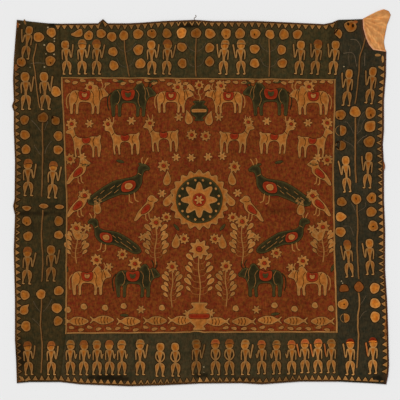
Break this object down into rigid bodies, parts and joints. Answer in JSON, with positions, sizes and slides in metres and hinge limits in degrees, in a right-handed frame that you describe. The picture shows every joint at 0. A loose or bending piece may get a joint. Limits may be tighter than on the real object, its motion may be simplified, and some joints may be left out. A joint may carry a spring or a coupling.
{
  "type": "shrine cloth",
  "caption": "Square cotton cloth with a seamed border, rounded piping, toothed edging, applied standing figures and a worn corner where the lining shows; it lies flat.",
  "frame": {"origin": "on the surface that the cloth lies on, under the middle of its whole outline", "axes": "+X runs to the right of the cloth as seen from its face, +Y runs up it towards the row of figures by the lining flap, and +Z points out of its face"},
  "size_m": [0.985, 0.98, 0.0049],
  "materials": {
    "rust_cotton": "matt plain-woven cotton, madder rust, faded and stained",
    "green_cotton": "matt plain-woven cotton, dark olive green, worn pale at folds",
    "tan_cotton": "matt cotton, cut and turned under, yellow-tan with paler rims",
    "peach_cotton": "soft thin cotton, peach, creased and rubbed"
  },
  "bodies": {
    "root": {"centre_panel": "rust_cotton", "border_left": "green_cotton", "border_right": "green_cotton", "border_bottom": "green_cotton", "border_top": "green_cotton", "piping_left": "tan_cotton", "piping_right": "tan_cotton", "piping_bottom": "tan_cotton", "piping_top": "tan_cotton", "edging_left": "tan_cotton", "edging_right": "tan_cotton", "edging_bottom": "tan_cotton", "edging_top": "tan_cotton", "lining_flap": "peach_cotton", "figure_left_1": "tan_cotton", "figure_left_2": "tan_cotton", "figure_left_3": "tan_cotton", "figure_left_4": "tan_cotton", "figure_left_5": "tan_cotton", "figure_left_6": "tan_cotton", "figure_left_7": "tan_cotton", "figure_left_8": "tan_cotton", "figure_right_1": "tan_cotton", "figure_right_2": "tan_cotton", "figure_right_3": "tan_cotton", "figure_right_4": "tan_cotton", "figure_right_5": "tan_cotton", "figure_right_6": "tan_cotton", "figure_right_7": "tan_cotton", "figure_right_8": "tan_cotton", "figure_top_1": "tan_cotton", "figure_top_2": "tan_cotton", "figure_top_3": "tan_cotton", "figure_top_4": "tan_cotton", "figure_top_5": "tan_cotton", "figure_top_6": "tan_cotton", "figure_top_7": "tan_cotton", "figure_top_8": "tan_cotton", "figure_top_9": "tan_cotton", "figure_top_10": "tan_cotton", "figure_bottom_1": "tan_cotton", "figure_bottom_2": "tan_cotton", "figure_bottom_3": "tan_cotton", "figure_bottom_4": "tan_cotton", "figure_bottom_5": "tan_cotton", "figure_bottom_6": "tan_cotton", "figure_bottom_7": "tan_cotton", "figure_bottom_8": "tan_cotton", "figure_bottom_9": "tan_cotton", "figure_bottom_10": "tan_cotton", "figure_bottom_11": "tan_cotton", "figure_bottom_12": "tan_cotton", "figure_bottom_13": "tan_cotton", "figure_bottom_14": "tan_cotton", "figure_bottom_15": "tan_cotton", "figure_bottom_16": "tan_cotton", "figure_bottom_17": "tan_cotton", "figure_bottom_18": "tan_cotton"}
  },
  "joints": []
}
